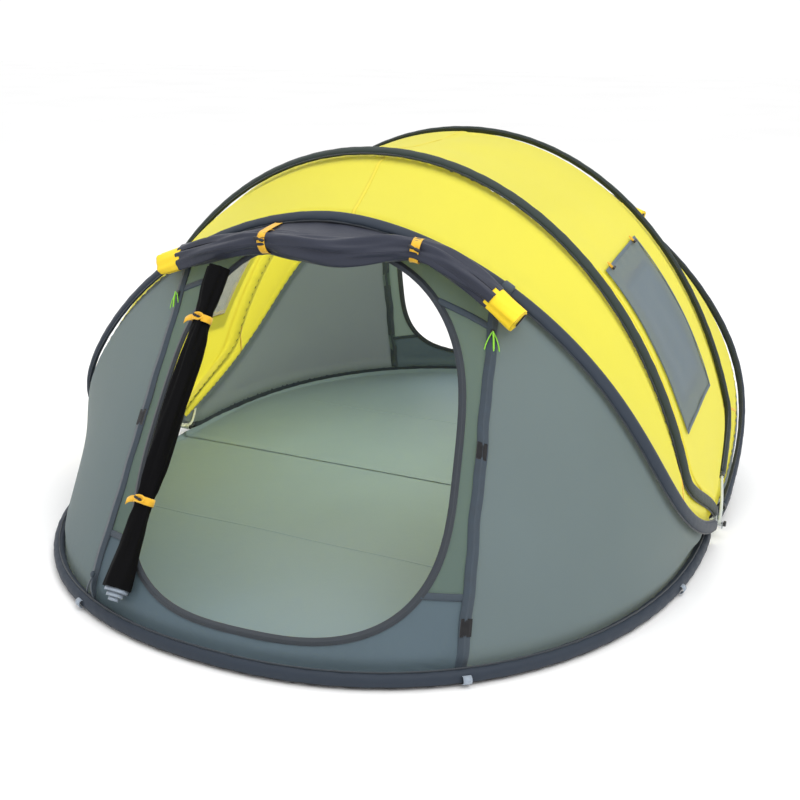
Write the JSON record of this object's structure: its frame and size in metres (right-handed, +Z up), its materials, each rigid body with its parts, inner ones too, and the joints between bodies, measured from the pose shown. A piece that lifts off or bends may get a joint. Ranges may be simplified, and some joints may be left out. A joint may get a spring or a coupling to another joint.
{
  "type": "dome tent",
  "caption": "Pop-up dome tent with spring hoops, yellow roof, grey walls, rolled-up doors at both ends, side windows and a sewn-in floor.",
  "frame": {"origin": "on the ground, under the middle of the tent, halfway between the two side pivots", "axes": "+X to the right along the line between the side pivots, +Y to the back, through both doors, +Z up"},
  "size_m": [1.993, 2.804, 1.1588],
  "materials": {
    "hoop_pole": "satin",
    "navy_sleeve": "woven",
    "green_sleeve": "woven",
    "grey_wall": "woven, lightly coated",
    "door_panel": "thin woven",
    "yellow_roof": "woven, lightly coated",
    "zip_tape": "woven tape",
    "lime_cord": "braided",
    "rolled_door": "woven",
    "amber_webbing": "woven",
    "black_plastic": "moulded",
    "black_mesh": "fine mesh, rolled",
    "floor_cloth": "coated cloth",
    "window_mesh": "fine mesh",
    "steel_wire": "wire"
  },
  "bodies": {
    "front_half": {"ground_pole_front": "hoop_pole", "ground_sleeve_front": "navy_sleeve", "floor_front": "floor_cloth", "wall_front_right": "grey_wall", "wall_front_left": "grey_wall", "door_frame_front": "door_panel", "zip_tape_front_right": "zip_tape", "zip_tape_front_left": "zip_tape", "mesh_roll_front": "black_mesh", "mesh_tie_front_1": "amber_webbing", "mesh_tie_front_2": "amber_webbing", "pivot_pin_right": "black_plastic", "pivot_pin_left": "black_plastic", "pivot_ring_right": "steel_wire", "pivot_ring_left": "steel_wire"},
    "front_hoops": {"low_pole_front": "hoop_pole", "low_sleeve_front": "navy_sleeve", "high_pole_front": "hoop_pole", "high_sleeve_front": "green_sleeve", "roof_front": "yellow_roof", "door_roll_front": "rolled_door", "roll_border_front_right": "yellow_roof", "roll_border_front_left": "yellow_roof", "roll_strap_front_1": "amber_webbing", "roll_strap_front_2": "amber_webbing", "roll_toggle_front_1": "black_plastic", "roll_toggle_front_2": "black_plastic", "roof_middle": "yellow_roof", "window_mesh_right": "window_mesh", "window_mesh_left": "window_mesh", "window_flap_right": "grey_wall", "window_flap_left": "grey_wall"},
    "rear_hoops": {"low_pole_rear": "hoop_pole", "low_sleeve_rear": "navy_sleeve", "high_pole_rear": "hoop_pole", "high_sleeve_rear": "green_sleeve", "roof_rear": "yellow_roof", "door_roll_rear": "rolled_door", "roll_border_rear_right": "yellow_roof", "roll_border_rear_left": "yellow_roof", "roll_strap_rear_1": "amber_webbing", "roll_strap_rear_2": "amber_webbing", "roll_toggle_rear_1": "black_plastic", "roll_toggle_rear_2": "black_plastic"},
    "rear_half": {"ground_pole_rear": "hoop_pole", "ground_sleeve_rear": "navy_sleeve", "floor_rear": "floor_cloth", "wall_rear_right": "grey_wall", "wall_rear_left": "grey_wall", "door_frame_rear": "door_panel", "zip_tape_rear_right": "zip_tape", "zip_tape_rear_left": "zip_tape", "mesh_roll_rear": "black_mesh", "mesh_tie_rear_1": "amber_webbing", "mesh_tie_rear_2": "amber_webbing"},
    "zip_front_right": {"zip_pull_front_right": "lime_cord"},
    "zip_front_left": {"zip_pull_front_left": "lime_cord"},
    "zip_rear_right": {"zip_pull_rear_right": "lime_cord"},
    "zip_rear_left": {"zip_pull_rear_left": "lime_cord"}
  },
  "joints": [
    {"name": "fold_middle", "type": "hinge", "parent": "front_hoops", "child": "rear_hoops", "pos_m": [0, 0, 0.045], "axis": [1, 0, 0], "range_deg": [0, 36], "stiffness_Nm_per_rad": 25, "springref_deg": -14.32, "deforming": ["roof_middle", "window_mesh_right", "window_mesh_left", "window_flap_right", "window_flap_left"]},
    {"name": "fold_front", "type": "hinge", "parent": "front_half", "child": "front_hoops", "pos_m": [0, 0, 0.045], "axis": [1, 0, 0], "range_deg": [0, 14], "deforming": ["wall_front_right", "wall_front_left", "door_frame_front", "zip_tape_front_right", "zip_tape_front_left", "mesh_roll_front", "mesh_tie_front_1", "mesh_tie_front_2"]},
    {"name": "fold_rear", "type": "hinge", "parent": "rear_hoops", "child": "rear_half", "pos_m": [0, 0, 0.045], "axis": [1, 0, 0], "range_deg": [0, 14], "deforming": ["wall_rear_right", "wall_rear_left", "door_frame_rear", "zip_tape_rear_right", "zip_tape_rear_left", "mesh_roll_rear", "mesh_tie_rear_1", "mesh_tie_rear_2"]},
    {"name": "zip_slide_front_right", "type": "slide", "parent": "front_hoops", "child": "zip_front_right", "axis": [-0.1153, 0.4939, 0.8618], "range_m": [-0.6, 0]},
    {"name": "zip_slide_front_left", "type": "slide", "parent": "front_hoops", "child": "zip_front_left", "axis": [-0.0308, 0.57, 0.8211], "range_m": [-0.6, 0]},
    {"name": "zip_slide_rear_right", "type": "slide", "parent": "rear_hoops", "child": "zip_rear_right", "axis": [0.1153, -0.4939, 0.8618], "range_m": [-0.6, 0]},
    {"name": "zip_slide_rear_left", "type": "slide", "parent": "rear_hoops", "child": "zip_rear_left", "axis": [0.0308, -0.57, 0.8211], "range_m": [-0.6, 0]}
  ],
  "couplings": [
    {"joint": "fold_front", "follows": "fold_middle", "ratio": 0.38889},
    {"joint": "fold_rear", "follows": "fold_middle", "ratio": 0.38889}
  ]
}
